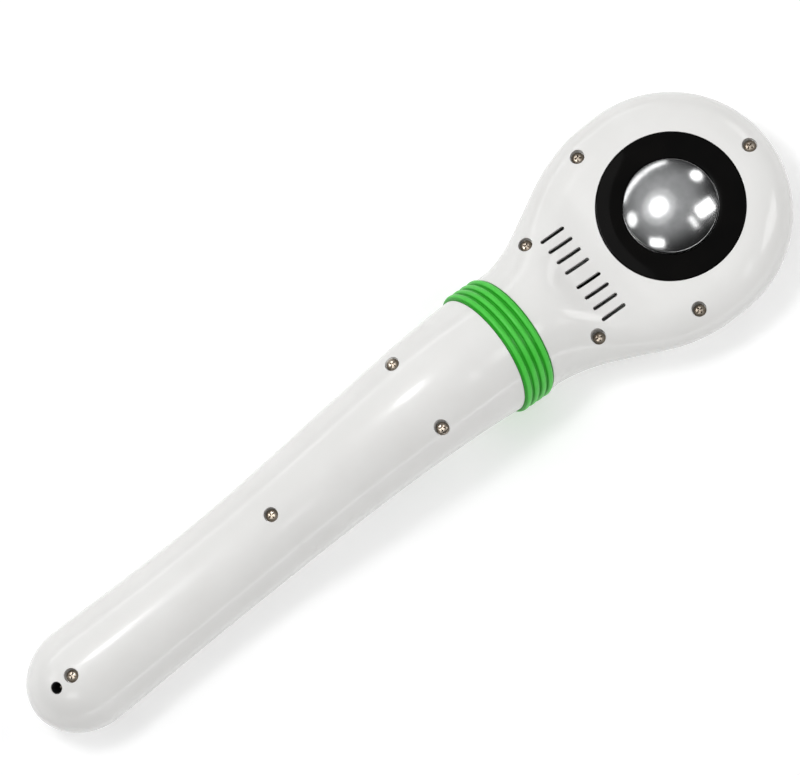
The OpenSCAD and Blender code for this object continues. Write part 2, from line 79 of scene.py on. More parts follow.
# ------------------------------------------------------------------ body shape, in millimetres
# Distances s run from the dome's axis toward the tail, as in the CAD model.
HEAD_R = 41.5
HEAD_S = 1.5
HEAD_END = 68.5
GRIP_START = 80.0
NECK_R = 22.0
GRIP_R = 17.2
TAIL_R = 18.15
TAIL_START = 252.0
TAIL_LEN = 21.0
CREST_H = 11.6
CREST_S = 110.0
FACE_EDGE = 13.0
BACK_EDGE = 24.0
BACK_NECK_LESS = 1.0
WALL = 2.2
TAIL_Z = TAIL_R - BACK_H + 0.05

# the sections lean over toward the collar from here, and the flat head turns round into the neck
LEAN_START, LEAN_RUN = 34.0, 30.0
LEAN_HOLD = GRIP_START + 3
ROUNDING_START, ROUNDING_RUN = 24.0, 40.0

NECK_WIDTHS = [
    [HEAD_S, HEAD_R], [14, HEAD_R - 0.6], [26.7, HEAD_R - 4.1], [41.7, NECK_R + 8],
    [51.7, NECK_R + 3.2], [61, NECK_R + 0.5], [HEAD_END, NECK_R + 0.05], [74, NECK_R],
]
GRIP_WIDTHS = [
    [74, NECK_R], [GRIP_START, NECK_R - 0.4], [90, NECK_R - 1], [127, GRIP_R + 1.8],
    [167, GRIP_R + 0.4], [197, GRIP_R], [227, GRIP_R + 0.4], [TAIL_START, TAIL_R],
]
ARCH = [
    [30, 0], [58, 0.7], [HEAD_END, 2.6], [GRIP_START, CREST_H - 4.5], [93, CREST_H - 0.9],
    [CREST_S, CREST_H], [130, CREST_H - 1.6], [150, CREST_H - 5], [180, 0.6],
    [215, TAIL_Z + 0.5], [TAIL_START, TAIL_Z],
]


def smooth(t):
    """0 to 1 with level ends."""
    c = np.clip(t, 0, 1)
    return c * c * (3 - 2 * c)


def curve(rows, s):
    """Smooth curve through [distance, value] rows, level at both ends."""
    x, v = np.array(rows, float).T
    slope = np.zeros(len(x))
    slope[1:-1] = (v[2:] - v[:-2]) / (x[2:] - x[:-2])
    i = np.clip(np.searchsorted(x, s, side="right") - 1, 0, len(x) - 2)
    step = x[i + 1] - x[i]
    t = np.clip((s - x[i]) / step, 0, 1)
    bend = 3 * t**2 - 2 * t**3
    start = slope[i] * (t**3 - 2 * t**2 + t)
    end = slope[i + 1] * (t**3 - t**2)
    return v[i] * (1 - bend) + v[i + 1] * bend + step * (start + end)


def mid_z(s):
    """Height of the body's axis over the parting plane of the head."""
    return curve(ARCH, s)


COLLAR_TILT = math.atan((mid_z(GRIP_START) - mid_z(HEAD_END)) / (GRIP_START - HEAD_END))


def lean(s):
    """Lean of the cross-section planes: upright in the head, square to the axis at the collar."""
    rising = smooth((s - LEAN_START) / LEAN_RUN)
    falling = smooth((CREST_S - s) / (CREST_S - LEAN_HOLD))
    return COLLAR_TILT * np.where(s < LEAN_HOLD, rising, falling)


def rise(height, edge, d):
    """Height over the parting line at a distance d from it, on an elliptic edge."""
    return height * np.sqrt(1 - (1 - np.clip(d / edge, 0, 1)) ** 2)


def to_frame(s, y, h):
    """Points of the CAD's row frame, in metres: s along, y across, h up the leaning section."""
    x = -s + h * np.sin(lean(s))
    z = mid_z(s) + h * np.cos(lean(s))
    return np.stack([AXIS_X + x * MM, y * MM + 0 * x, PART_Z + z * MM], -1)


def head_grid(s, across, side, inset):
    """Half of the head's surface. across runs from -1 at one seam to 1 at the other."""
    s = s[:, None]
    sine = np.sin(across * math.pi / 2)[None, :]
    forward = s < HEAD_S
    r = HEAD_R - inset
    w_front = np.sqrt(np.clip(r * r - (HEAD_S - s) ** 2, 0, None))
    w_back = curve(NECK_WIDTHS, s) - inset
    w = np.where(forward, w_front, w_back)
    y = w * sine
    grade = (curve(NECK_WIDTHS, s + 0.5) - curve(NECK_WIDTHS, s - 0.5)) * ~forward
    mix = smooth((s - ROUNDING_START) / ROUNDING_RUN)
    slant = np.sqrt(1 + grade**2) * (1 - mix) + mix
    d = np.where(forward, r - np.hypot(HEAD_S - s, y), (w - np.abs(y)) / slant)
    flat_h = (FACE_H if side > 0 else BACK_H) - inset
    neck_h = (NECK_R if side > 0 else NECK_R - BACK_NECK_LESS) - inset
    flat_edge = (FACE_EDGE if side > 0 else BACK_EDGE) - inset
    edge_back = np.minimum(flat_edge * (1 - mix) + w * mix, w / slant + TINY)
    edge = np.maximum(np.where(forward, flat_edge, edge_back), TINY)
    h = side * rise(flat_h * (1 - mix) + neck_h * mix, edge, np.clip(d, 0, None))
    return to_frame(s + 0 * y, y, h)


def grip_grid(s, across, side, inset):
    """Half of the grip's surface, which is round."""
    s = s[:, None]
    angle = across[None, :] * math.pi / 2
    past = np.clip((s - TAIL_START) / (TAIL_LEN - inset), 0, 1)
    w_tail = (TAIL_R - inset) * np.sqrt(1 - past**2)
    w = np.where(s > TAIL_START, w_tail, curve(GRIP_WIDTHS, s) - inset)
    return to_frame(s + 0 * angle, w * np.sin(angle), side * w * np.cos(angle))


def head_rows(inset, count):
    """Distances of the head's sections, closing up toward the tip."""
    tip = HEAD_S - (HEAD_R - inset) * np.sin(np.linspace(math.pi / 2, 0, count, endpoint=False))
    return np.concatenate([tip, np.linspace(HEAD_S, HEAD_END, count)])


def grip_rows(inset, count):
    """Distances of the grip's sections, closing up toward the tail."""
    tail = TAIL_START + (TAIL_LEN - inset) * np.sin(np.linspace(0, math.pi / 2, count // 5 + 1)[1:])
    return np.concatenate([np.linspace(GRIP_START, TAIL_START, count), tail])


# ------------------------------------------------------------------ mesh helpers
def link(obj):
    """Puts a new object into the scene."""
    bpy.context.scene.collection.objects.link(obj)
    return obj


def mesh_object(name, verts, faces, merge=0.0):
    """A linked mesh with its normals outward; points closer than merge become one."""
    mesh = bpy.data.meshes.new(name)
    mesh.from_pydata([tuple(v) for v in verts], [], faces)
    bm = bmesh.new()
    bm.from_mesh(mesh)
    if merge:
        bmesh.ops.remove_doubles(bm, verts=bm.verts, dist=merge)
        bmesh.ops.dissolve_degenerate(bm, dist=merge, edges=bm.edges)
    bmesh.ops.recalc_face_normals(bm, faces=bm.faces)
    bm.to_mesh(mesh)
    bm.free()
    return link(bpy.data.objects.new(name, mesh))


def grid_faces(rows, cols, start=0, flip=False):
    """Quads of a grid of points, row after row."""
    faces = []
    for i in range(rows - 1):
        for k in range(cols - 1):
            a = start + i * cols + k
            quad = (a, a + 1, a + cols + 1, a + cols)
            faces.append(quad[::-1] if flip else quad)
    return faces


# half of the fine gap that shows at the parting line
SEAM = 0.14
HALF_COLUMNS = 121
CORE_ROWS, CORE_COLUMNS = 50, 61
# in metres; points this close are one, where a section shrinks to the tip
WELD = 2e-6
# surface, its sections, how many of them, and the row that is open at the neck
HEAD = (head_grid, head_rows, 90, -1)
GRIP = (grip_grid, grip_rows, 200, 0)


def half_columns(count):
    """Across values for half a section, packed closer at the two seams."""
    t = np.linspace(-1, 1, count)
    return np.sin(t * math.pi / 2) * 0.35 + t * 0.65


def half_shell(name, half, side):
    """A closed half shell with its wall thickness, and the bare outer surface for its normals."""
    grid, rows, count, open_row = half
    across = half_columns(HALF_COLUMNS)
    outer = np.clip(grid(rows(0.0, count), across, side, 0.0), CAD_BOX[0], CAD_BOX[1])
    inner = grid(rows(WALL, count), across, side, WALL)
    for column, sign in ((0, 1), (-1, -1)):
        width = np.abs(outer[:, column, 1])
        outer[:, column, 1] += sign * np.minimum(SEAM * MM, width * 0.5)
    n, m = outer.shape[:2]
    verts = np.concatenate([outer.reshape(-1, 3), inner.reshape(-1, 3)])
    base = n * m
    faces = grid_faces(n, m) + grid_faces(n, m, base, flip=True)
    for k in (0, m - 1):
        for i in range(n - 1):
            a, b = i * m + k, (i + 1) * m + k
            faces.append((a, b, base + b, base + a))
    for k in range(m - 1):
        a = open_row % n * m + k
        faces.append((a, a + 1, base + a + 1, base + a))
    shell = mesh_object(name, verts, faces, merge=WELD)
    skin = mesh_object(name + "_skin", outer.reshape(-1, 3), grid_faces(n, m), merge=WELD)
    return shell, skin


def core(name, half, side, inset):
    """The closed half body inside the wall, which trims posts and bosses."""
    grid, rows, _, open_row = half
    pts = grid(rows(inset, CORE_ROWS), half_columns(CORE_COLUMNS), side, inset)
    n, m = pts.shape[:2]
    faces = grid_faces(n, m)
    faces += [(i * m, i * m + m - 1, (i + 1) * m + m - 1, (i + 1) * m) for i in range(n - 1)]
    faces.append(tuple(open_row % n * m + k for k in range(m)))
    return mesh_object(name, pts.reshape(-1, 3), faces, merge=WELD)


def boolean(obj, tool, operation):
    """Applies a boolean and removes the tool."""
    mod = obj.modifiers.new("cut", "BOOLEAN")
    mod.operation = operation
    mod.solver = "MANIFOLD"
    mod.object = tool
    depsgraph = bpy.context.evaluated_depsgraph_get()
    mesh = bpy.data.meshes.new_from_object(obj.evaluated_get(depsgraph))
    obj.modifiers.clear()
    obj.data = mesh
    bpy.data.objects.remove(tool)


def ring_points(r, z, segments):
    """Points of a level circle about Z."""
    a = np.linspace(0, 2 * math.pi, segments, endpoint=False)
    return np.stack([r * np.cos(a), r * np.sin(a), np.full(segments, z)], 1)


def lathe(name, profile, place=Matrix(), segments=96):
    """Closed solid of revolution about Z. profile is a list of (radius, height), in metres."""
    verts, rings = [], []
    for r, z in profile:
        if r < TINY:
            rings.append([len(verts)])
            verts.append((0, 0, z))
        else:
            rings.append(list(range(len(verts), len(verts) + segments)))
            verts.extend(ring_points(r, z, segments))
    faces = []
    hollow = profile[0][0] > TINY and profile[-1][0] > TINY
    for i in range(len(profile) if hollow else len(profile) - 1):
        a, b = rings[i], rings[(i + 1) % len(rings)]
        for k in range(segments):
            n = (k + 1) % segments
            if len(a) == 1 and len(b) == 1:
                continue
            if len(a) == 1:
                faces.append((a[0], b[k], b[n]))
            elif len(b) == 1:
                faces.append((a[k], b[0], a[n]))
            else:
                faces.append((a[k], b[k], b[n], a[n]))
    obj = mesh_object(name, verts, faces)
    obj.data.transform(place)
    return obj


def join(name, parts):
    """One object from several, kept as separate closed meshes."""
    verts, faces = [], []
    for part in parts:
        start = len(verts)
        verts.extend(v.co[:] for v in part.data.vertices)
        faces.extend(tuple(start + i for i in p.vertices) for p in part.data.polygons)
        bpy.data.objects.remove(part)
    return mesh_object(name, verts, faces)


def prism_faces(n):
    """Faces of a prism whose n lower points come before its n upper ones."""
    faces = [tuple(range(n)), tuple(range(2 * n - 1, n - 1, -1))]
    return faces + [(i, (i + 1) % n, n + (i + 1) % n, n + i) for i in range(n)]


def stadium(name, length, width, low, high, place=Matrix(), segments=24):
    """Upright prism with round ends, length along X, in metres."""
    outline = []
    for sign in (1, -1):
        for a in np.linspace(-math.pi / 2, math.pi / 2, segments):
            x = sign * ((length - width) / 2 + width / 2 * math.cos(a))
            outline.append((x, sign * width / 2 * math.sin(a)))
    verts = [(x, y, z) for z in (low, high) for x, y in outline]
    obj = mesh_object(name, verts, prism_faces(len(outline)), merge=1e-7)
    obj.data.transform(place)
    return obj


def rounded(points, radius, steps=5):
    """Profile points with each inner corner rounded to a radius."""
    out = [points[0]]
    for before, corner, after in zip(points, points[1:-1], points[2:]):
        p, q, r = Vector(before), Vector(corner), Vector(after)
        into, away = (p - q), (r - q)
        reach = min(radius, into.length * 0.45, away.length * 0.45)
        start, end = q + into.normalized() * reach, q + away.normalized() * reach
        for i in range(steps + 1):
            t = i / steps
            out.append(tuple(start * (1 - t) ** 2 + q * 2 * t * (1 - t) + end * t**2))
    out.append(points[-1])
    return out


def smooth_by_angle(obj, degrees=32):
    """Smooth shading, with every edge that turns more than the angle left sharp."""
    mesh = obj.data
    mesh.shade_smooth()
    bm = bmesh.new()
    bm.from_mesh(mesh)
    limit = math.radians(degrees)
    for edge in bm.edges:
        faces = edge.link_faces
        edge.smooth = len(faces) == 2 and edge.calc_face_angle(0) < limit
    bm.to_mesh(mesh)
    bm.free()
    return obj


# a face is on the skin if it is this near, in metres, and its normals agree by this cosine
ON_SKIN_GAP = 1.5e-5
ON_SKIN_FACING = 0.9


def skin_normals(obj, skin):
    """Shades the outer surface with the uncut skin's own normals, so cut edges leave no dents."""
    skin_mesh = skin.data
    skin_mesh.shade_smooth()
    skin_mesh.calc_loop_triangles()
    coords = [v.co.copy() for v in skin_mesh.vertices]
    tris = [tuple(t.vertices) for t in skin_mesh.loop_triangles]
    tree = BVHTree.FromPolygons(coords, tris)
    skin_normal = [n.vector.copy() for n in skin_mesh.vertex_normals]
    flip = None

    def normal_at(point):
        """The skin's normal at a point, mixed from the corners of the triangle it is on."""
        spot, _, index, _ = tree.find_nearest(point)
        ids = tris[index]
        a, b, c = (coords[i] for i in ids)
        whole = (b - a).cross(c - a).length
        if whole < 1e-16:
            return skin_normal[ids[0]]
        wa = (b - spot).cross(c - spot).length / whole
        wb = (c - spot).cross(a - spot).length / whole
        wc = (a - spot).cross(b - spot).length / whole
        n = skin_normal[ids[0]] * wa + skin_normal[ids[1]] * wb + skin_normal[ids[2]] * wc
        return n.normalized()

    smooth_by_angle(obj)
    mesh = obj.data
    on_skin = []
    for poly in mesh.polygons:
        _, face_n, _, gap = tree.find_nearest(poly.center)
        near = gap is not None and gap < ON_SKIN_GAP
        near = near and abs(poly.normal.dot(face_n)) > ON_SKIN_FACING
        if near and flip is None:
            flip = 1.0 if poly.normal.dot(normal_at(poly.center)) > 0 else -1.0
        on_skin.append(near)
    edge_faces = {}
    for poly in mesh.polygons:
        for key in poly.edge_keys:
            edge_faces.setdefault(key, []).append(poly.index)
    sharp = mesh.attributes.get("sharp_edge")
    sharp = sharp or mesh.attributes.new("sharp_edge", "BOOLEAN", "EDGE")
    for edge in mesh.edges:
        owners = edge_faces[tuple(sorted(edge.vertices))]
        states = {on_skin[i] for i in owners}
        if len(states) == 2:
            sharp.data[edge.index].value = True
        elif states == {True}:
            sharp.data[edge.index].value = False
    normals = [Vector(c.vector) for c in mesh.corner_normals]
    cache = {}
    for poly in mesh.polygons:
        if not on_skin[poly.index]:
            continue
        for li in poly.loop_indices:
            vi = mesh.loops[li].vertex_index
            if vi not in cache:
                cache[vi] = normal_at(mesh.vertices[vi].co) * flip
            normals[li] = cache[vi]
    mesh.normals_split_custom_set(normals)
    bpy.data.objects.remove(skin)


def finish_piece(obj, body, material, node):
    """Gives a piece its material, the body it rides on and the CAD node it replaces."""
    obj.data.materials.clear()
    obj.data.materials.append(material)
    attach(obj, body)
    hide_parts(node)


# ------------------------------------------------------------------ the four shells
def at(x, y, z=0.0):
    """A point of the row frame, in millimetres, as metres in the CAD's frame."""
    return Vector((AXIS_X + x * MM, y * MM, PART_Z + z * MM))


def mm(profile):
    """A profile in millimetres, as metres."""
    return [(r * MM, z * MM) for r, z in profile]


def rod_profile(r, low, high):
    return mm([(0, low), (r, low), (r, high), (0, high)])


def rod(name, x, y, r, low, high, segments=48):
    """Upright rod at a point of the row frame."""
    return lathe(name, rod_profile(r, low, high), Matrix.Translation(at(x, y)), segments)


def pill(name, length, width, low, high, place, segments=24):
    """Upright prism with round ends, in millimetres."""
    return stadium(name, length * MM, width * MM, low * MM, high * MM, place, segments)


# along, across and height of the seat under each screw's head; the grip's seats follow the arch
HEAD_SCREWS = [
    (33.3, 0, 5.2), (-14, 33, 4.8), (-14, -33, 4.8), (-46, 19.8, 7.5), (-46, -19.8, 7.5),
]
GRIP_SCREWS = [
    (x, y, mid_z(-x) + up)
    for x, y, up in ((-105.4, 13.5, 12), (-105.4, -13.5, 12), (-168, 0, 14.2), (-253.8, 0, 14.6))
]
POCKET_R = 2.5
POST_R = 3.5
TAIL_POST_R = 2.9
BACK_POST_LESS = 0.3
# posts and bosses end inside the wall, and cutters reach well past the part
TRIM_INSET = WALL * 0.6
BEYOND = 60

DOME_R = 16.0
DOME_CROWN = 5.0
DOME_RIM = 1.6
BEZEL_R = (ring_high.x - ring_low.x) / 2 / MM
BEZEL_GAP = 0.15
SEAT_R = 27
SEAT_THICK = 1.8
OPENING_R = DOME_R + 2.8
OPENING_LOW = -5

VENT_S = 37
VENT_OFFSETS = (3.1, 7.6, 12.1, 16.6)
VENT_LEN, VENT_W, VENT_LOW = 9.5, 1.3, 1

# the charging inlet's hole, which leans from upright toward the tail
JACK_S = 260.4
JACK_TILT = math.radians(12)
JACK_R = 2.1
JACK_BOSS_R = 3.4
JACK_BOSS_LOW, JACK_BOSS_HIGH = -3.2, 3
JACK_BORE_LOW, JACK_BORE_HIGH = -4.2, 8
JACK_MOUTH_Z = mid_z(JACK_S) + TAIL_R * math.sqrt(1 - ((JACK_S - TAIL_START) / TAIL_LEN) ** 2)
ON_JACK = Matrix.Translation(at(-JACK_S, 0, JACK_MOUTH_Z)) @ Matrix.Rotation(-JACK_TILT, 4, "Y")

# the control panel's recess in the back, with a pad behind it and a window through the pad
PANEL_S = 127.0
PANEL_LEN = 40.0
PANEL_W = 15.0
PANEL_H = float(mid_z(PANEL_S) - curve(GRIP_WIDTHS, PANEL_S) + 1.8)
PAD_H = PANEL_H + 1.6
PANEL_GAP = 0.2
BED_LEN, BED_W = 46, 19
BED_LOW, BED_HIGH = PANEL_H - 4, PAD_H + 1.2
WINDOW_LEN, WINDOW_W = PANEL_LEN - 5, 10.4
WINDOW_HIGH = PAD_H + 2.2
ON_PANEL = Matrix.Translation(at(-PANEL_S, 0))


def add(shell, solid, half, side):
    """Joins a solid to a shell, trimmed to the hollow so that it ends in the wall."""
    boolean(solid, core("trim", half, side, TRIM_INSET), "INTERSECT")
    boolean(shell, solid, "UNION")


def cut(shell, solid):
    boolean(shell, solid, "DIFFERENCE")


def shell_with_posts(name, half, side, spots):
    """Half shell with its screw posts, and the bare skin for its normals."""
    shell, skin = half_shell(name, half, side)
    less = 0 if side > 0 else BACK_POST_LESS
    for i, (x, y, _) in enumerate(spots):
        r = (TAIL_POST_R if x < -TAIL_START else POST_R) - less
        add(shell, rod(f"post{i}", x, y, r, -BEYOND, BEYOND), half, side)
    return shell, skin


def cut_pockets(shell, spots):
    """Round pockets that the screw heads sit in."""
    for x, y, seat in spots:
        cut(shell, rod("pocket", x, y, POCKET_R, seat, BEYOND, 64))


def finish_shell(shell, skin, plastic, node):
    skin_normals(shell, skin)
    finish_piece(shell, ROOT, plastic, node)


def build_shells(plastic):
    # head, front half: bezel seat, transducer opening, screw pockets and vents
    shell, skin = shell_with_posts("HeadFront", HEAD, 1, HEAD_SCREWS)
    add(shell, rod("boss", 0, 0, SEAT_R, LEDGE_H - SEAT_THICK, BEYOND, 160), HEAD, 1)
    cut(shell, rod("seat", 0, 0, BEZEL_R + BEZEL_GAP, LEDGE_H, BEYOND, 360))
    cut(shell, rod("opening", 0, 0, OPENING_R, OPENING_LOW, BEYOND, 240))
    cut_pockets(shell, HEAD_SCREWS)
    for y in VENT_OFFSETS:
        for side in (-1, 1):
            place = Matrix.Translation(at(-VENT_S, side * y))
            cut(shell, pill("vent", VENT_LEN, VENT_W, VENT_LOW, BEYOND, place))
    finish_shell(shell, skin, plastic, "head_front_shell")

    # head, back half
    shell, skin = shell_with_posts("HeadRear", HEAD, -1, HEAD_SCREWS)
    finish_shell(shell, skin, plastic, "head_rear_shell")

    # grip, front half: screw pockets and the bore of the charging inlet
    shell, skin = shell_with_posts("GripFront", GRIP, 1, GRIP_SCREWS)
    boss = rod_profile(JACK_BOSS_R, JACK_BOSS_LOW, JACK_BOSS_HIGH)
    add(shell, lathe("boss", boss, ON_JACK), GRIP, 1)
    cut_pockets(shell, GRIP_SCREWS)
    cut(shell, lathe("bore", rod_profile(JACK_R, JACK_BORE_LOW, JACK_BORE_HIGH), ON_JACK))
    finish_shell(shell, skin, plastic, "handle_front_shell")

    # grip, back half: recess and window of the control panel
    shell, skin = shell_with_posts("GripRear", GRIP, -1, GRIP_SCREWS)
    add(shell, pill("bed", BED_LEN, BED_W, BED_LOW, BED_HIGH, ON_PANEL), GRIP, -1)
    cut(shell, pill("recess", PANEL_LEN + PANEL_GAP, PANEL_W + PANEL_GAP,
                    -BEYOND, PAD_H, ON_PANEL, 64))
    cut(shell, pill("window", WINDOW_LEN, WINDOW_W, -BEYOND, WINDOW_HIGH, ON_PANEL, 64))
    finish_shell(shell, skin, plastic, "handle_rear_shell")


# ------------------------------------------------------------------ head fittings
def build_bezel(material):
    """Flat ring with softly rounded rims, sitting on the head's ledge."""
    inner, outer = DOME_R + BEZEL_GAP, BEZEL_R
    corners = [(inner, LEDGE_H), (inner, FACE_H), (outer, FACE_H), (outer, LEDGE_H)]
    ring = lathe("BezelRing", mm(rounded(corners, 0.45, 8)), Matrix.Translation(at(0, 0)), 360)
    smooth_by_angle(ring, 40)
    finish_piece(ring, ROOT, material, "bezel_ring")


def build_dome(material):
    """Spun metal dome: flange, upright rim, turned-over shoulder and spherical crown."""
    rim_z = FACE_H + DOME_RIM
    sphere_r = (DOME_R**2 + DOME_CROWN**2) / (2 * DOME_CROWN)
    edge = math.asin(DOME_R / sphere_r)
    shoulder, sheet = 1.0, 2.0
    flange_r, flange_low, flange_high = DOME_R + 2.6, LEDGE_H - 1.5, LEDGE_H - 0.02
    # the shoulder is an arc that touches both the rim and the crown
    reach = sphere_r - shoulder
    turn = math.asin((DOME_R - shoulder) / reach)
    middle = (DOME_R - shoulder, rim_z - sphere_r * math.cos(edge) + reach * math.cos(turn))
    crown = [(sphere_r * math.sin(a), rim_z + sphere_r * (math.cos(a) - math.cos(edge)))
             for a in np.linspace(0, turn, 72)]
    arc = [(middle[0] + shoulder * math.sin(a), middle[1] + shoulder * math.cos(a))
           for a in np.linspace(turn, math.pi / 2, 20)[1:]]
    inside = rim_z - sheet - 0.2
    skirt = [(DOME_R, flange_high), (flange_r, flange_high), (flange_r, flange_low),
             (DOME_R - sheet, flange_low), (DOME_R - sheet, inside), (0, inside)]
    dome = lathe("TreatmentDome", mm(crown + arc + skirt), Matrix.Translation(at(0, 0)), 240)
    smooth_by_angle(dome, 30)
    finish_piece(dome, ROOT, material, "treatment_dome")


HEAD_END_Z, GRIP_START_Z = float(mid_z(HEAD_END)), float(mid_z(GRIP_START))
ON_NECK = Matrix.Translation(
    at(-(HEAD_END + GRIP_START) / 2, 0, (HEAD_END_Z + GRIP_START_Z) / 2)
) @ Matrix.Rotation(math.pi / 2 + COLLAR_TILT, 4, "Y")
COLLAR_GAP = 0.3
COLLAR_LEN = math.hypot(GRIP_START - HEAD_END, GRIP_START_Z - HEAD_END_Z) - COLLAR_GAP
COLLAR_R = 22.9
COLLAR_BORE_R = 18.25
RIDGES = 4
RIDGE_SHARE = 0.74
GROOVE = 0.9


def build_collar(material):
    """Soft ribbed collar: rounded ridges with wide grooves between them."""
    steps, pitch = 24, COLLAR_LEN / RIDGES
    profile = []
    for i in range(RIDGES):
        for k in range(steps + (i == RIDGES - 1)):
            u = (2 * k / steps - 1) / RIDGE_SHARE
            h = max(0.0, 1 - abs(u) ** 2.2) ** 0.6
            along = -COLLAR_LEN / 2 + pitch * (i + k / steps)
            profile.append((COLLAR_R - GROOVE + GROOVE * h, along))
    profile += [(COLLAR_BORE_R, COLLAR_LEN / 2), (COLLAR_BORE_R, -COLLAR_LEN / 2)]
    collar = lathe("NeckCollar", mm(profile), segments=288)
    # how far down in the grooves each point sits, for the painted shade that darkens the grooves
    groove_shade_values = collar.data.attributes.new("groove", "FLOAT", "POINT")
    for v, shade_at in zip(collar.data.vertices, groove_shade_values.data):
        below = COLLAR_R - math.hypot(v.co.x, v.co.y) / MM
        shade_at.value = smooth((below / GROOVE - 0.2) / 0.5)
    collar.data.transform(ON_NECK)
    smooth_by_angle(collar, 60)
    finish_piece(collar, ROOT, material, "neck_collar")


SCREW_HEAD_R, SCREW_HEAD_H = 2.2, 1.5
SCREW_R = 1.0
SCREW_BELOW = 8
RECESS_DEPTH = 0.9
RECESS_ARM, RECESS_HALF = 1.25, 0.3
RECESS_OVER = 0.3
RECESS_FLOOR, RECESS_MOUTH = 0.45, 1.12


def cross_recess(place, turn, top):
    """Cutter for a Phillips recess, a cross that tapers from its mouth to its floor."""
    arm, half = RECESS_ARM * MM, RECESS_HALF * MM
    outline = []
    for k in range(4):
        a = turn + k * math.pi / 2
        c, s = math.cos(a), math.sin(a)
        for x, y in ((half, -half), (arm, -half), (arm, half)):
            outline.append((c * x - s * y, s * x + c * y))
    verts = []
    for scale, z in ((RECESS_FLOOR, top - RECESS_DEPTH), (RECESS_MOUTH, top + RECESS_OVER)):
        verts += [(x * scale, y * scale, z * MM) for x, y in outline]
    cutter = mesh_object("cross", verts, prism_faces(len(outline)))
    cutter.data.transform(place)
    return cutter


def build_screws(name, spots, material, node):
    """Pan-head screws with a cross recess, each turned its own way."""
    parts = []
    r, h = SCREW_HEAD_R, SCREW_HEAD_H
    dome = [(0, h), (r * 0.62, h * 0.98), (r * 0.93, h * 0.66), (r, h * 0.2), (r, 0.02)]
    for i, (x, y, seat) in enumerate(spots):
        tip = float(mid_z(-x)) - SCREW_BELOW
        profile = [(px, seat + pz) for px, pz in rounded(dome, 0.5, 4)]
        profile += [(SCREW_R, seat), (SCREW_R, tip + 1.2), (0.3, tip + 0.1), (0, tip)]
        place = Matrix.Translation(at(x, y))
        screw = lathe(f"screw{i}", mm(profile), place, 64)
        cut(screw, cross_recess(place, math.radians(20 + 37 * i), seat + h))
        parts.append(screw)
    screws = smooth_by_angle(join(name, parts), 35)
    finish_piece(screws, ROOT, material, node)


# ------------------------------------------------------------------ charging inlet
def build_jack(black, metal):
    """Inlet body with a nose that lines the hole in the shell, and its centre pin."""
    # heights are measured from the hole's mouth along its axis
    back, floor, shoulder, nose = -10, -9, -3.25, -0.7
    body_r, nose_r, bore_r, pin_hole_r, lip = 2.9, 2.04, 1.75, 0.62, 0.1
    profile = [
        (pin_hole_r, back), (body_r, back), (body_r, shoulder), (nose_r, shoulder),
        (nose_r, nose - lip), (nose_r - 0.09, nose), (bore_r + 0.07, nose), (bore_r, nose - lip),
        (bore_r, floor), (pin_hole_r, floor),
    ]
    body = smooth_by_angle(lathe("InletBody", mm(profile), ON_JACK))
    finish_piece(body, ROOT, black, "dc_jack")
    pin_r, tip = 0.6, -4.0
    pin = [(0, back - 0.5), (pin_r, back - 0.5), (pin_r, tip - 0.45), (0.5, tip - 0.2),
           (0.3, tip - 0.04), (0, tip)]
    pin = smooth_by_angle(lathe("InletPin", mm(pin), ON_JACK, 48), 50)
    finish_piece(pin, ROOT, metal, "jack_pin")


# ------------------------------------------------------------------ controls on the back
# offset from the panel's middle, radius, body that moves, CAD node
BUTTONS = {
    "Power": (12.0, 4.2, "power_key", "power_button"),
    "LevelUp": (0.8, 3.3, "level_up_key", "level_up_button"),
    "LevelDown": (-8.4, 3.3, "level_down_key", "level_down_button"),
}
BUTTON_GAP = 0.08
PIPES = (-13.4, -15.0, -16.6)
PIPE_R = 0.5
PIPE_HOLE_R = 0.55
ICON_H = 0.14


def heights(node):
    """Lowest and highest point of a CAD node, in millimetres in the row frame."""
    return [(corner.z - PART_Z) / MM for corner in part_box(node)]


def build_panel(material):
    """Thin plate with round ends and a hole for each button and light pipe."""
    plate = pill("ControlPanel", PANEL_LEN, PANEL_W, PANEL_H, PAD_H - 0.02, ON_PANEL, 72)
    holes = [(x, r + BUTTON_GAP) for x, r, _, _ in BUTTONS.values()]
    for x, r in holes + [(x, PIPE_HOLE_R) for x in PIPES]:
        cut(plate, rod("hole", x - PANEL_S, 0, r, PANEL_H - 1, PAD_H + 1, 96))
    smooth_by_angle(plate)
    finish_piece(plate, ROOT, material, "control_panel")


def power_sign():
    """Points and faces of an open ring with a bar in its gap."""
    steps, inner, outer, gap = 40, 1.25, 1.6, 80
    verts, faces = [], []
    for i in range(steps + 1):
        a = math.radians(gap / 2 + (360 - gap) * i / steps) + math.pi
        for r in (inner, outer):
            verts += [(-r * math.cos(a), r * math.sin(a), z) for z in (0.0, ICON_H)]
    for a in range(0, 4 * steps, 4):
        b = a + 4
        faces += [(a, b, b + 1, a + 1), (a + 2, a + 3, b + 3, b + 2)]
        faces += [(a, a + 2, b + 2, b), (a + 1, b + 1, b + 3, a + 3)]
    end = 4 * steps
    faces += [(0, 1, 3, 2), (end, end + 2, end + 3, end + 1)]
    first = len(verts)
    verts += [(x, y, z) for x in (0.3, 1.75) for y in (-0.17, 0.17) for z in (0.0, ICON_H)]
    box = ((0, 1, 3, 2), (4, 6, 7, 5), (0, 4, 5, 1), (2, 3, 7, 6), (0, 2, 6, 4), (1, 5, 7, 3))
    return verts, faces + [tuple(first + i for i in face) for face in box]


def triangle_sign(flip):
    """Points and faces of a flat triangle that points along X, or back if flip is -1."""
    point, back, half = 1.15 * flip, -0.75 * flip, 1.15
    outline = [(point, 0), (back, half), (back, -half)]
    verts = [(x, y, z) for z in (0.0, ICON_H) for x, y in outline]
    return verts, [(0, 1, 2), (5, 4, 3), (0, 3, 4, 1), (1, 4, 5, 2), (2, 5, 3, 0)]


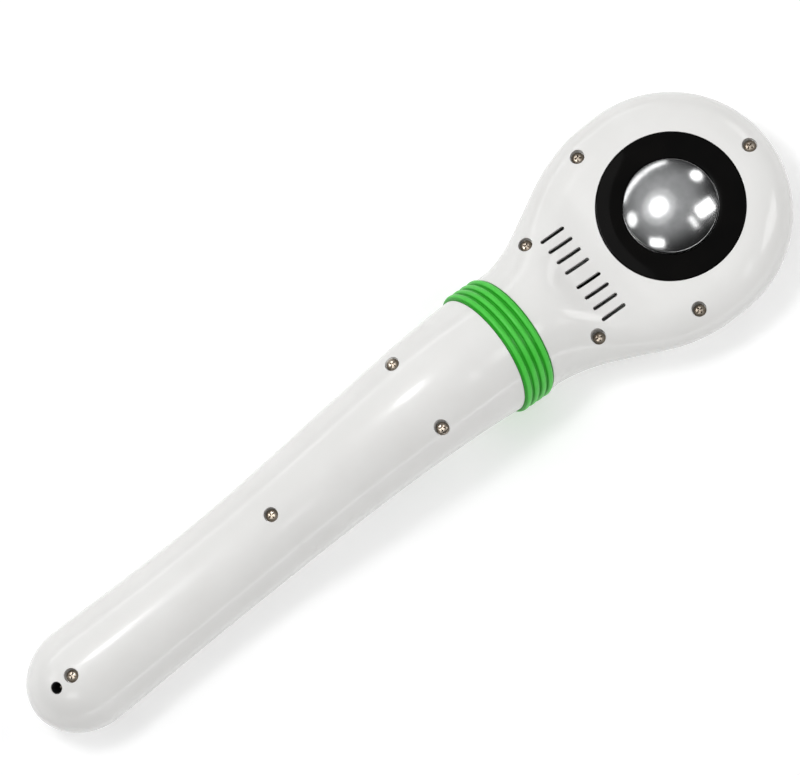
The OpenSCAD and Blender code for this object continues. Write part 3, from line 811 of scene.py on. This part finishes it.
def face_icon(kind, x, face):
    """Raised generic sign in the button's dish: a power ring, or a triangle up or down."""
    if kind == "Power":
        verts, faces = power_sign()
    else:
        verts, faces = triangle_sign(1 if kind == "LevelUp" else -1)
    verts = [at(x - PANEL_S + px, py, face - pz) for px, py, pz in verts]
    return mesh_object("icon", verts, faces)


def build_buttons(green, white):
    """Dished caps with a flange behind the panel and a plunger that reaches the switch."""
    flange, flange_thick, flange_wide, plunger_r = PAD_H + 0.03, 0.8, 0.7, 1.4
    for name, (x, r, body, node) in BUTTONS.items():
        face, switch_end = heights(node)
        dish = [(0, face + 0.28), (r * 0.35, face + 0.25), (r * 0.68, face + 0.1)]
        rim = [dish[-1], (r - 0.25, face), (r, face + 0.45), (r, flange - 0.2)]
        back = [(r, flange), (r + flange_wide, flange), (r + flange_wide, flange + flange_thick),
                (plunger_r, flange + flange_thick), (plunger_r, switch_end), (0, switch_end)]
        profile = dish + rounded(rim, 0.5, 6)[1:] + back
        cap = lathe("cap", mm(profile), Matrix.Translation(at(x - PANEL_S, 0)), 128)
        icon = face_icon(name, x, face + 0.3)
        button = smooth_by_angle(join(name + "Button", [cap, icon]), 40)
        finish_piece(button, body, green if name == "Power" else white, node)


def build_pipes(material):
    """Clear pins that carry each status light to the panel's face."""
    low, high = heights("light_pipes")
    pin = rounded([(0, low), (PIPE_R, low + 0.06), (PIPE_R, high), (0, high)], 0.2, 4)
    parts = [lathe(f"pipe{i}", mm(pin), Matrix.Translation(at(x - PANEL_S, 0)), 40)
             for i, x in enumerate(PIPES)]
    pipes = smooth_by_angle(join("LightPipes", parts), 40)
    finish_piece(pipes, ROOT, material, "light_pipes")


# ------------------------------------------------------------------ materials
class Surface:
    """A Principled material built from procedural nodes in object space, in metres."""

    def __init__(self, name, **sockets):
        self.material = bpy.data.materials.new(name)
        self.material.use_nodes = True
        self.tree = self.material.node_tree
        self.tree.nodes.clear()
        self.out = self.add("ShaderNodeOutputMaterial")
        self.bsdf = self.add("ShaderNodeBsdfPrincipled", **sockets)
        self.link(self.bsdf, "BSDF", self.out, "Surface")
        self.coords = self.add("ShaderNodeTexCoord")
        self.normal = None

    def add(self, kind, settings=None, **sockets):
        """A new node; an underscore in a socket's name stands for a space."""
        node = self.tree.nodes.new(kind)
        for key, value in (settings or {}).items():
            setattr(node, key, value)
        for key, value in sockets.items():
            node.inputs[key.replace("_", " ")].default_value = value
        return node

    def link(self, a, out, b, into):
        self.tree.links.new(a.outputs[out], b.inputs[into])

    def stretched(self, scale, turn):
        """Object coordinates, turned and scaled per axis."""
        mapping = self.add("ShaderNodeMapping", Rotation=turn, Scale=scale)
        self.link(self.coords, "Object", mapping, "Vector")
        return mapping

    def noise(self, scale, detail=3.0, rough=0.5, vector=None):
        tex = self.add("ShaderNodeTexNoise", Scale=scale, Detail=detail, Roughness=rough)
        if vector:
            self.link(vector, "Vector", tex, "Vector")
        else:
            self.on_object(tex)
        return tex

    def on_object(self, tex):
        """Lays a texture out in object space."""
        self.link(self.coords, "Object", tex, "Vector")

    def waves(self, direction, scale, **sockets):
        """Parallel bands in one direction."""
        settings = {"wave_type": "BANDS", "bands_direction": direction}
        tex = self.add("ShaderNodeTexWave", settings, Scale=scale, **sockets)
        self.on_object(tex)
        return tex

    def cells(self, scale, **sockets):
        """Distance to the middle of scattered cells."""
        tex = self.add("ShaderNodeTexVoronoi", Scale=scale, **sockets)
        self.on_object(tex)
        return tex

    def fit(self, source, out, low, high, start=0.3, end=0.7):
        """An output's span from start to end, brought to the range low..high."""
        node = self.add("ShaderNodeMapRange", From_Min=start, From_Max=end, To_Min=low, To_Max=high)
        self.link(source, out, node, "Value")
        return node

    def mix(self, factor, out, a, b):
        """Two colours mixed by a value; each is a tuple or an earlier mix."""
        node = self.add("ShaderNodeMix", {"data_type": "RGBA"})
        self.link(factor, out, node, "Factor")
        for slot, colour in ((6, a), (7, b)):
            if isinstance(colour, tuple):
                node.inputs[slot].default_value = (*colour, 1.0)
            else:
                self.tree.links.new(colour.outputs[2], node.inputs[slot])
        return node

    def colour(self, mix):
        """Makes a mix the base colour."""
        self.tree.links.new(mix.outputs[2], self.bsdf.inputs["Base Color"])

    def mottle(self, scale, a, b):
        """Uneven base colour between two colours."""
        patches = self.fit(self.noise(scale, 4.0), "Fac", 0.0, 1.0, 0.35, 0.65)
        mix = self.mix(patches, "Result", a, b)
        self.colour(mix)
        return mix

    def roughness(self, scale, low, high):
        """Uneven gloss between two roughnesses."""
        patches = self.fit(self.noise(scale, 4.0), "Fac", low, high)
        self.link(patches, "Result", self.bsdf, "Roughness")

    def soften_edges(self, radius):
        """Rounds the look of cut edges over a small radius."""
        bevel = self.add("ShaderNodeBevel", {"samples": 6}, Radius=radius)
        self.normal = (bevel, "Normal")
        self.link(bevel, "Normal", self.bsdf, "Normal")

    def bump(self, source, out, distance):
        """Adds one layer of relief; distance is its height in metres."""
        node = self.add("ShaderNodeBump", Strength=1.0, Distance=distance)
        self.link(source, out, node, "Height")
        if self.normal:
            self.link(self.normal[0], self.normal[1], node, "Normal")
        self.normal = (node, "Normal")
        self.link(node, "Normal", self.bsdf, "Normal")


def moulded(name, a, b, rough, relief, grain, edge=0.0, **sockets):
    """Moulded plastic or rubber: faint mottling, uneven gloss and a fine grain."""
    s = Surface(name, **sockets)
    s.mottle(90, a, b)
    s.roughness(140, *rough)
    if edge:
        s.soften_edges(edge)
    s.bump(s.noise(grain, 2.0), "Fac", relief)
    return s.material


def white_plastic():
    """The shells' glossy ABS: slow waviness of the moulding under a fine grain."""
    s = Surface("white_abs", IOR=1.5, Specular_IOR_Level=0.32,
                Coat_Weight=0.08, Coat_Roughness=0.05)
    s.mottle(55, (0.830, 0.822, 0.803), (0.855, 0.848, 0.830))
    s.roughness(160, 0.13, 0.20)
    s.soften_edges(0.00022)
    s.bump(s.noise(75, 1.0), "Fac", 2.2e-5)
    s.bump(s.noise(2400, 2.0), "Fac", 1.6e-6)
    return s.material


def screw_metal():
    """Nickel plate, worn to a warmer tone in patches."""
    s = Surface("screw_nickel", Metallic=1.0)
    s.mottle(400, (0.27, 0.225, 0.18), (0.42, 0.37, 0.31))
    s.roughness(900, 0.24, 0.40)
    s.bump(s.noise(2600, 3.0), "Fac", 2e-6)
    return s.material


def scratched_metal(name, a, b, rough, relief, lengths=(60, 2600)):
    """Polished metal with a wiping grain and fine scratches in three directions."""
    s = Surface(name, Metallic=1.0)
    s.mottle(220, a, b)
    s.roughness(180, *rough)
    along, across = lengths
    for i, turn in enumerate((0.55, 1.7, 2.75)):
        lines = s.noise(1.0, 3.0, 0.65, s.stretched((along, across, along), (0, 0, turn)))
        marks = s.fit(lines, "Fac", 0.0, 1.0, 0.58, 0.75)
        s.bump(marks, "Result", relief * (1.0 - 0.25 * i))
    return s.material


def collar_rubber():
    """Green silicone, with painted shade that darkens it down in the grooves."""
    s = Surface("collar_green", IOR=1.43, Specular_IOR_Level=0.4)
    ridge = s.mottle(160, (0.068, 0.600, 0.056), (0.084, 0.640, 0.070))
    # painted shade: down in the grooves the green is mixed toward a darker green
    groove = s.add("ShaderNodeAttribute", {"attribute_name": "groove"})
    shaded_grooves = s.mix(groove, "Fac", ridge, (0.018, 0.360, 0.012))
    s.colour(shaded_grooves)
    s.roughness(260, 0.34, 0.46)
    s.bump(s.noise(1500, 3.0), "Fac", 6e-6)
    return s.material


def circuit_board():
    """Green solder mask over copper tracks, with tinned pads."""
    s = Surface("circuit_board", IOR=1.5, Coat_Weight=0.4, Coat_Roughness=0.15)
    tracks = s.fit(s.waves("DIAGONAL", 230.0, Distortion=14.0, Detail=1.0), "Fac",
                   0.0, 1.0, 0.60, 0.66)
    mask = s.mix(tracks, "Result", (0.010, 0.105, 0.035), (0.025, 0.190, 0.060))
    pads = s.fit(s.cells(330.0, Randomness=0.55), "Distance", 1.0, 0.0, 0.16, 0.20)
    s.colour(s.mix(pads, "Result", mask, (0.62, 0.60, 0.52)))
    s.link(s.fit(pads, "Result", 0.0, 0.9, 0.0, 1.0), "Result", s.bsdf, "Metallic")
    s.roughness(300, 0.25, 0.4)
    s.bump(tracks, "Result", 3e-5)
    s.bump(pads, "Result", 4e-5)
    return s.material


def cell_sleeve():
    """Shrink sleeve of the cell, blue with thin pale bands round its axis."""
    s = Surface("cell_sleeve", IOR=1.5, Coat_Weight=0.5, Coat_Roughness=0.1)
    body = s.mottle(120, (0.030, 0.120, 0.330), (0.045, 0.155, 0.400))
    band = s.fit(s.waves("X", 18.0), "Fac", 0.0, 1.0, 0.965, 0.975)
    s.colour(s.mix(band, "Result", body, (0.75, 0.77, 0.80)))
    s.roughness(200, 0.2, 0.34)
    s.bump(s.noise(500, 2.0), "Fac", 2e-5)
    return s.material


def foam():
    """Dark open-cell foam, with painted shade down in the pits of its cells."""
    s = Surface("foam", IOR=1.4)
    cells = s.cells(1500.0)
    # painted shade: each cell is darkest at its middle, down in its pit, and lighter toward its
    # edge
    pore_shade_mask = s.fit(cells, "Distance", 0.0, 1.0, 0.1, 0.6)
    s.colour(s.mix(pore_shade_mask, "Result", (0.020, 0.020, 0.022), (0.085, 0.085, 0.09)))
    s.roughness(300, 0.85, 1.0)
    s.bump(cells, "Distance", 1.2e-4)
    return s.material


def wire(name, a, b):
    """Stranded wire's PVC jacket, with the lay of the strands just showing."""
    s = Surface(name, IOR=1.5)
    s.mottle(300, a, b)
    s.roughness(500, 0.3, 0.45)
    s.bump(s.waves("DIAGONAL", 500.0), "Fac", 1.2e-5)
    return s.material


def clear_plastic():
    """Slightly frosted acrylic of the light pipes."""
    s = Surface("led_clear", IOR=1.49, Transmission_Weight=0.65)
    s.mottle(700, (0.80, 0.86, 0.80), (0.90, 0.94, 0.90))
    s.roughness(900, 0.08, 0.22)
    s.bump(s.noise(3000, 2.0), "Fac", 3e-6)
    return s.material


def make_materials():
    """Every material by the name of its slot in the record."""
    made = [
        white_plastic(),
        moulded("bezel_black", (0.0007, 0.0006, 0.0005), (0.0019, 0.0016, 0.0013),
                (0.03, 0.07), 5e-7, 2200, IOR=1.5, Specular_IOR_Level=0.05),
        scratched_metal("dome_metal", (0.47, 0.475, 0.475), (0.54, 0.54, 0.545),
                        (0.14, 0.20), 1.8e-6),
        moulded("seal_rubber", (0.010, 0.010, 0.011), (0.022, 0.022, 0.024),
                (0.55, 0.75), 2e-5, 1400),
        moulded("piezo_ceramic", (0.62, 0.56, 0.42), (0.72, 0.66, 0.52), (0.4, 0.6), 1e-5, 2600),
        moulded("inner_nylon", (0.60, 0.59, 0.56), (0.70, 0.69, 0.66), (0.38, 0.52), 1e-5, 1300),
        screw_metal(),
        wire("wire_red", (0.42, 0.016, 0.012), (0.55, 0.026, 0.020)),
        wire("wire_black", (0.012, 0.012, 0.013), (0.030, 0.030, 0.032)),
        circuit_board(),
        moulded("ferrite", (0.045, 0.042, 0.040), (0.095, 0.088, 0.080), (0.5, 0.75), 2.5e-5, 1700),
        moulded("chip_black", (0.012, 0.012, 0.013), (0.024, 0.024, 0.026),
                (0.35, 0.5), 1e-5, 3000),
        scratched_metal("sink_aluminium", (0.55, 0.56, 0.57), (0.66, 0.67, 0.68),
                        (0.28, 0.40), 3e-6, (40, 1500)),
        collar_rubber(),
        scratched_metal("panel_silver", (0.50, 0.51, 0.52), (0.62, 0.63, 0.64),
                        (0.26, 0.36), 1.6e-6, (30, 3200)),
        moulded("button_green", (0.050, 0.500, 0.042), (0.070, 0.560, 0.055),
                (0.3, 0.42), 6e-6, 1600, 0.0001),
        moulded("button_white", (0.72, 0.72, 0.71), (0.78, 0.78, 0.77),
                (0.3, 0.42), 6e-6, 1600, 0.0001),
        clear_plastic(),
        cell_sleeve(),
        foam(),
        moulded("jack_black", (0.008, 0.008, 0.009), (0.018, 0.018, 0.019),
                (0.25, 0.4), 6e-6, 2500),
    ]
    # a material that shares its name with one from the CAD frame gets a suffix
    return {m.name.split(".")[0]: m for m in made}


def dress_cad_nodes(materials):
    """Gives every carried-over CAD node the material of its slot in the record."""
    for part in frame["record"]["subparts"]:
        node = frame["nodes"][part["node"]]
        if node.hide_render:
            continue
        slots = node.data.materials
        slots.clear()
        slots.append(materials[part["material_slot"]])


# ------------------------------------------------------------------ camera
# The camera looks nearly straight down on the wand, leaning to the object's right side.
CAM_DISTANCE = 1.5
CAM_SIDE = math.radians(10.0)
CAM_AHEAD = math.radians(0.95)
CAM_TURN = math.radians(38.256)
CAM_TARGET = Vector((0.00798, 0.01029, PART_Z))
CAM_LENS = 200.6


def view_axes():
    """Right, up and back of the camera, as unit vectors."""
    back = Vector((math.tan(CAM_AHEAD), -math.tan(CAM_SIDE), 1)).normalized()
    ahead = -back
    along = Vector((1, 0, 0))
    along = (along - ahead * along.dot(ahead)).normalized()
    aside = ahead.cross(along)
    right = along * math.cos(CAM_TURN) + aside * math.sin(CAM_TURN)
    return right, -(ahead.cross(right)), back


def aim(obj, right, up, back, place):
    """Places a camera or a light with its three axes."""
    turn = Matrix((right, up, back)).transposed().to_4x4()
    obj.matrix_world = Matrix.Translation(place) @ turn


def make_camera():
    data = bpy.data.cameras.new("Camera")
    data.lens = CAM_LENS
    data.sensor_width = 36
    data.sensor_fit = "HORIZONTAL"
    data.clip_start, data.clip_end = 0.05, 60
    camera = link(bpy.data.objects.new("Camera", data))
    right, up, back = view_axes()
    aim(camera, right, up, back, CAM_TARGET + back * CAM_DISTANCE)
    bpy.context.scene.camera = camera


# ------------------------------------------------------------------ light
LIGHT_DISTANCE = 1.1


def softbox(name, turn, tilt, wide, tall, radiance, spin=0.0, oval=True):
    """Area light seen from the dome at a tilt from the view axis, turned from the picture's right.

    wide and tall are the angles it fills, in degrees; radiance is its brightness.
    """
    right, up, back = view_axes()
    turn, tilt, spin = (math.radians(angle) for angle in (turn, tilt, spin))
    side = right * math.cos(turn) + up * math.sin(turn)
    to_light = back * math.cos(tilt) + side * math.sin(tilt)
    data = bpy.data.lights.new(name, "AREA")
    data.shape = "ELLIPSE" if oval else "RECTANGLE"
    data.size = 2 * LIGHT_DISTANCE * math.tan(math.radians(wide / 2))
    data.size_y = 2 * LIGHT_DISTANCE * math.tan(math.radians(tall / 2))
    area = data.size * data.size_y * (math.pi / 4 if oval else 1)
    data.energy = radiance * math.pi * area
    lamp = link(bpy.data.objects.new(name, data))
    across = back.cross(to_light).normalized()
    x = across * math.cos(spin) + to_light.cross(across) * math.sin(spin)
    aim(lamp, x, to_light.cross(x), to_light, at(0, 0, FACE_H) + to_light * LIGHT_DISTANCE)
    lamp.visible_camera = False


def make_room():
    """Surroundings that fade from a light side, upper left in the picture, to a dim side."""
    right, up, back = view_axes()
    light_side = (back - 0.4 * right + 0.4 * up).normalized()
    world = bpy.data.worlds.new("Studio")
    world.use_nodes = True
    tree = world.node_tree
    direction = tree.nodes.new("ShaderNodeTexCoord")
    facing = tree.nodes.new("ShaderNodeVectorMath")
    facing.operation = "DOT_PRODUCT"
    facing.inputs[1].default_value = light_side
    fade = tree.nodes.new("ShaderNodeMapRange")
    fade.interpolation_type = "SMOOTHSTEP"
    span = {"From Min": 0.3, "From Max": 1.0, "To Min": 0.02, "To Max": 0.60}
    for key, value in span.items():
        fade.inputs[key].default_value = value
    background = tree.nodes["Background"]
    background.inputs["Color"].default_value = (0.98, 0.99, 1.0, 1)
    tree.links.new(direction.outputs["Generated"], facing.inputs[0])
    tree.links.new(facing.outputs["Value"], fade.inputs["Value"])
    tree.links.new(fade.outputs["Result"], background.inputs["Strength"])
    bpy.context.scene.world = world


# in metres; the floor's top is a hair under the wand, which rests at height 0
FLOOR_R = 14
FLOOR_LOW, FLOOR_TOP = -0.02, -0.0002


def make_stage():
    """Pale round floor, the room and the lights."""
    corners = [(0, FLOOR_LOW), (FLOOR_R, FLOOR_LOW), (FLOOR_R, FLOOR_TOP), (0, FLOOR_TOP)]
    floor = lathe("Floor", corners)
    s = Surface("floor_white", Roughness=0.9)
    s.mottle(4, (0.80, 0.80, 0.80), (0.82, 0.82, 0.82))
    s.bsdf.inputs["Emission Color"].default_value = (1, 1, 1, 1)
    s.bsdf.inputs["Emission Strength"].default_value = 0.30
    floor.data.materials.append(s.material)

    make_room()

    # turn and tilt are where each light sits in the picture's plane and away from the view axis
    softbox("MainCore", 155, 28, 12, 12, 19.0)
    softbox("MainBox", 155, 28, 29, 27, 1.7)
    softbox("MainGlow", 155, 28, 52, 46, 0.4)
    softbox("LampUpperRight", 63, 64, 15, 17, 3.0)
    softbox("LampLowerLeft", 185, 65, 18, 15, 2.4)
    softbox("WindowRight", 14, 41, 27, 16, 5.0, spin=-70, oval=False)
    softbox("BarRight", -22, 25, 17, 6, 3.0, spin=59, oval=False)
    softbox("CardBottom", -125, 48, 18, 11, 4.0, spin=35, oval=False)
    softbox("WallUpperLeft", 132, 80, 66, 7, 2.4, oval=False)
    softbox("WallLowerRight", -52, 80, 84, 7, 3.0, oval=False)

    scene = bpy.context.scene
    scene.view_settings.view_transform = "Standard"
    scene.view_settings.look = "None"
    scene.view_settings.exposure = 0.0
    scene.view_settings.gamma = 1.0


# ------------------------------------------------------------------ scene
materials = make_materials()
make_camera()
make_stage()
build_shells(materials["white_abs"])
build_bezel(materials["bezel_black"])
build_dome(materials["dome_metal"])
build_collar(materials["collar_green"])
build_screws("HeadScrews", HEAD_SCREWS, materials["screw_nickel"], "head_screws")
build_screws("GripScrews", GRIP_SCREWS, materials["screw_nickel"], "handle_screws")
build_jack(materials["jack_black"], materials["screw_nickel"])
build_panel(materials["panel_silver"])
build_buttons(materials["button_green"], materials["button_white"])
build_pipes(materials["led_clear"])
dress_cad_nodes(materials)
